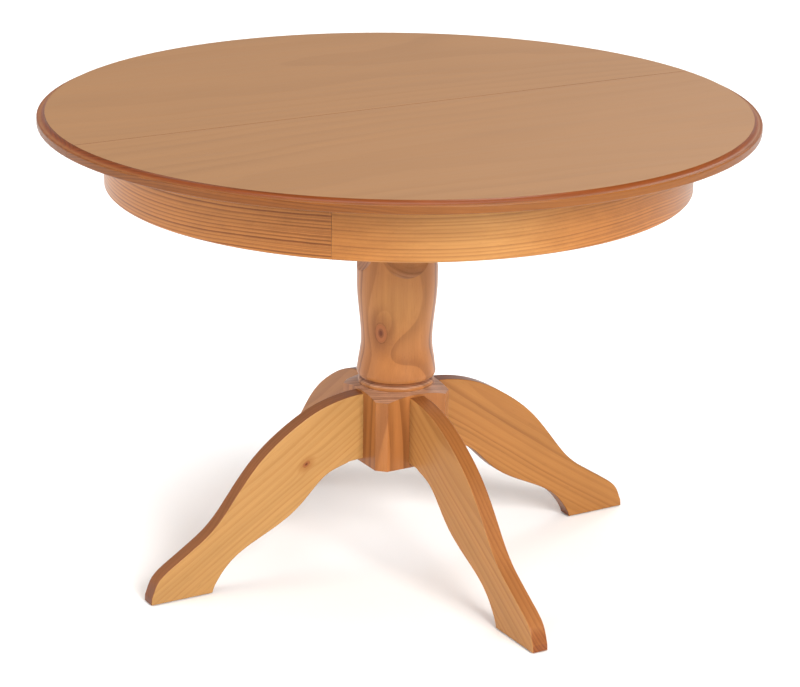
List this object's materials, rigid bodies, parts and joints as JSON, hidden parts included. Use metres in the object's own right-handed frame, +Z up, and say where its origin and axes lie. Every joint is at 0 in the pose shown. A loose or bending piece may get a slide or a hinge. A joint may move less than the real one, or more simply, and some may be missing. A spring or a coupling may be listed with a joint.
{
  "type": "round pedestal table",
  "caption": "Round pedestal table with a turned post on splayed sabre legs, a bent apron ring and a top in halves that slide apart along a centre seam",
  "frame": {"origin": "floor under the middle of the post, at the bottom centre of the bounding box", "axes": "+Z up, +X along the front right leg and the way the right half of the top slides out, +Y along the back right leg and along the seam of the top"},
  "size_m": [1.0998, 1.1, 0.736],
  "materials": {
    "veneered_top": "satin lacquer",
    "edge_wood": "satin lacquer",
    "post_wood": "satin lacquer",
    "leg_wood": "satin lacquer",
    "apron_wood": "satin lacquer",
    "frame_wood": "planed, unfinished",
    "dowel_beech": "plain",
    "zinc_steel": "zinc plated",
    "brass_hardware": "plain",
    "glide_nylon": "moulded"
  },
  "bodies": {
    "pedestal": {"central_post": "post_wood", "leg_front_right": "leg_wood", "leg_back_right": "leg_wood", "leg_back_left": "leg_wood", "leg_front_left": "leg_wood", "leg_dowels": "dowel_beech", "leg_inserts": "brass_hardware", "leg_bolts": "zinc_steel", "leg_bolt_washers": "zinc_steel", "foot_glides": "glide_nylon", "head_plate": "frame_wood", "head_plate_screws": "zinc_steel", "bearer_left": "frame_wood", "bearer_right": "frame_wood", "bearer_screws": "zinc_steel", "rail_front": "frame_wood", "rail_back": "frame_wood", "rail_screws": "zinc_steel", "apron_front": "apron_wood", "apron_right": "apron_wood", "apron_back": "apron_wood", "apron_left": "apron_wood", "apron_joint_blocks": "frame_wood"},
    "top_right": {"top_panel_right": "veneered_top", "edge_moulding_right": "edge_wood", "runner_right_front": "frame_wood", "runner_right_back": "frame_wood", "runner_screws_right": "zinc_steel", "table_forks_right": "brass_hardware", "fork_screws_right": "zinc_steel"},
    "top_left": {"top_panel_left": "veneered_top", "edge_moulding_left": "edge_wood", "runner_left_front": "frame_wood", "runner_left_back": "frame_wood", "runner_screws_left": "zinc_steel", "table_forks_left": "brass_hardware", "fork_screws_left": "zinc_steel", "seam_dowels": "dowel_beech"}
  },
  "joints": [
    {"name": "right_half_slide", "type": "slide", "parent": "pedestal", "child": "top_right", "axis": [1, 0, 0], "range_m": [0, 0.2]},
    {"name": "left_half_slide", "type": "slide", "parent": "pedestal", "child": "top_left", "axis": [-1, 0, 0], "range_m": [0, 0.2]}
  ]
}
